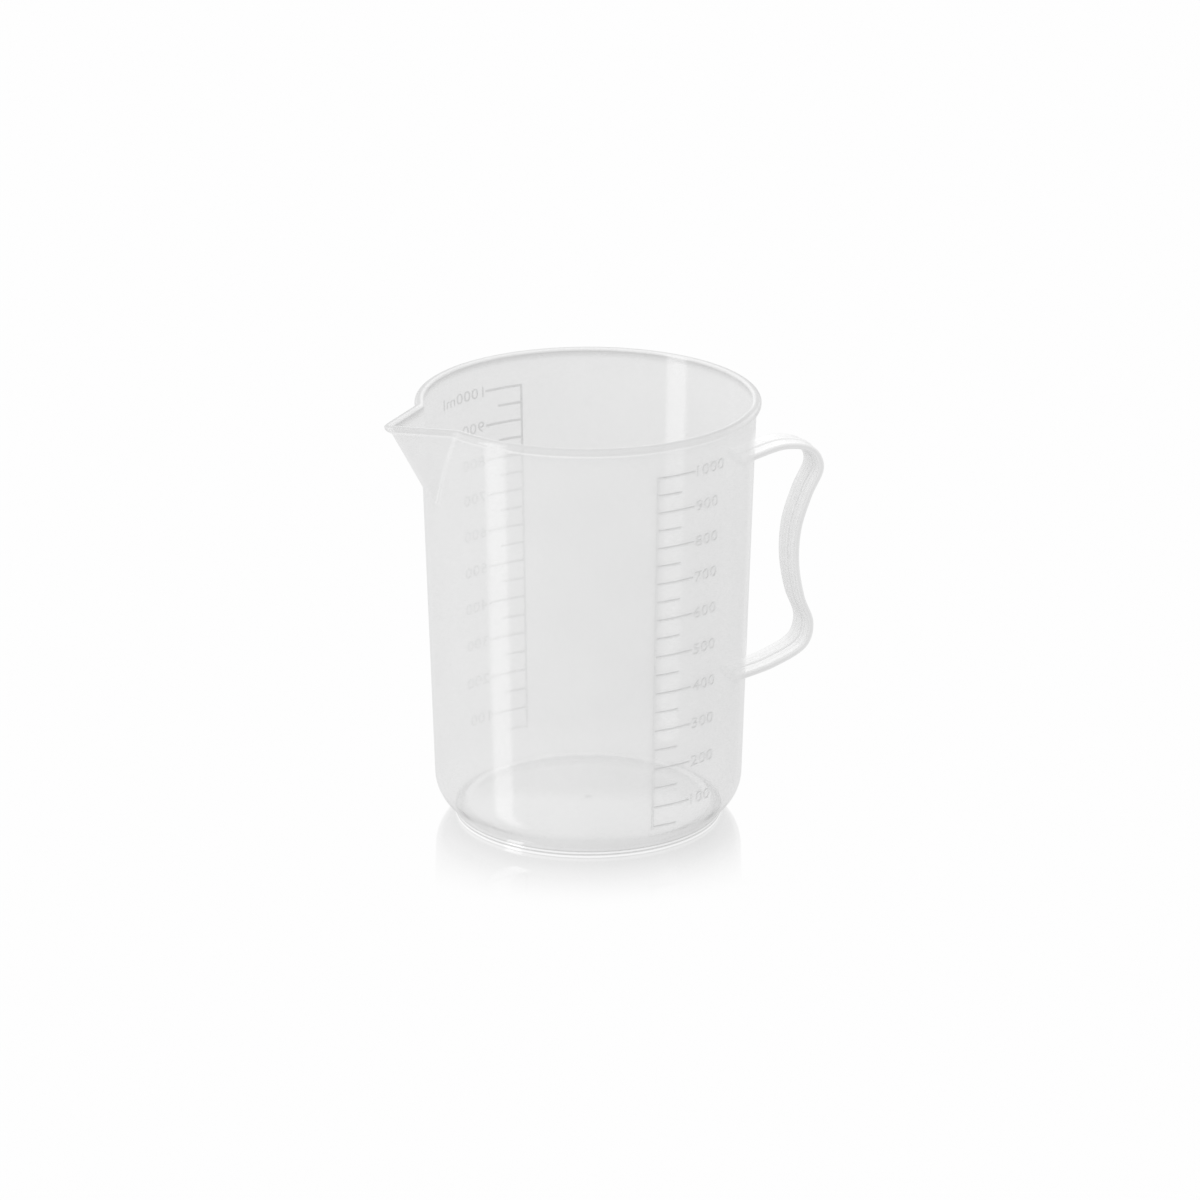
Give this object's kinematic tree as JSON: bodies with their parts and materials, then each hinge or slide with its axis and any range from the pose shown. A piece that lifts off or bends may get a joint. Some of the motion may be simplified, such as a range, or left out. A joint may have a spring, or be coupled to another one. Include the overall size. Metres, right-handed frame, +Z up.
{
  "type": "measuring beaker",
  "caption": "Tapered round measuring beaker with a rounded heel, low foot ring, beaded rim, V pouring spout, S-curved strap handle and raised volume scales.",
  "frame": {"origin": "on the vessel's axis in the plane the foot ring stands on", "axes": "+Z up along the vessel's axis, +X towards the handle with the spout at -X, the front scale on the -Y side and the back scale on the +Y side"},
  "size_m": [0.1523, 0.111, 0.1403],
  "materials": {
    "polypropylene_wall": "natural translucent polypropylene, softly glossy",
    "polypropylene_thick": "natural polypropylene where it is thicker and looks milkier",
    "polypropylene_raised": "raised lines moulded in the same natural polypropylene"
  },
  "bodies": {
    "root": {"base_floor": "polypropylene_wall", "gate_ring": "polypropylene_raised", "base_heel": "polypropylene_thick", "foot_ring": "polypropylene_thick", "vessel_wall": "polypropylene_wall", "rim_bead": "polypropylene_thick", "pour_spout": "polypropylene_wall", "spout_lip": "polypropylene_thick", "handle_strap": "polypropylene_thick", "handle_outer_rib": "polypropylene_raised", "handle_inner_rib": "polypropylene_raised", "front_scale": "polypropylene_raised", "back_scale": "polypropylene_raised"}
  },
  "joints": []
}
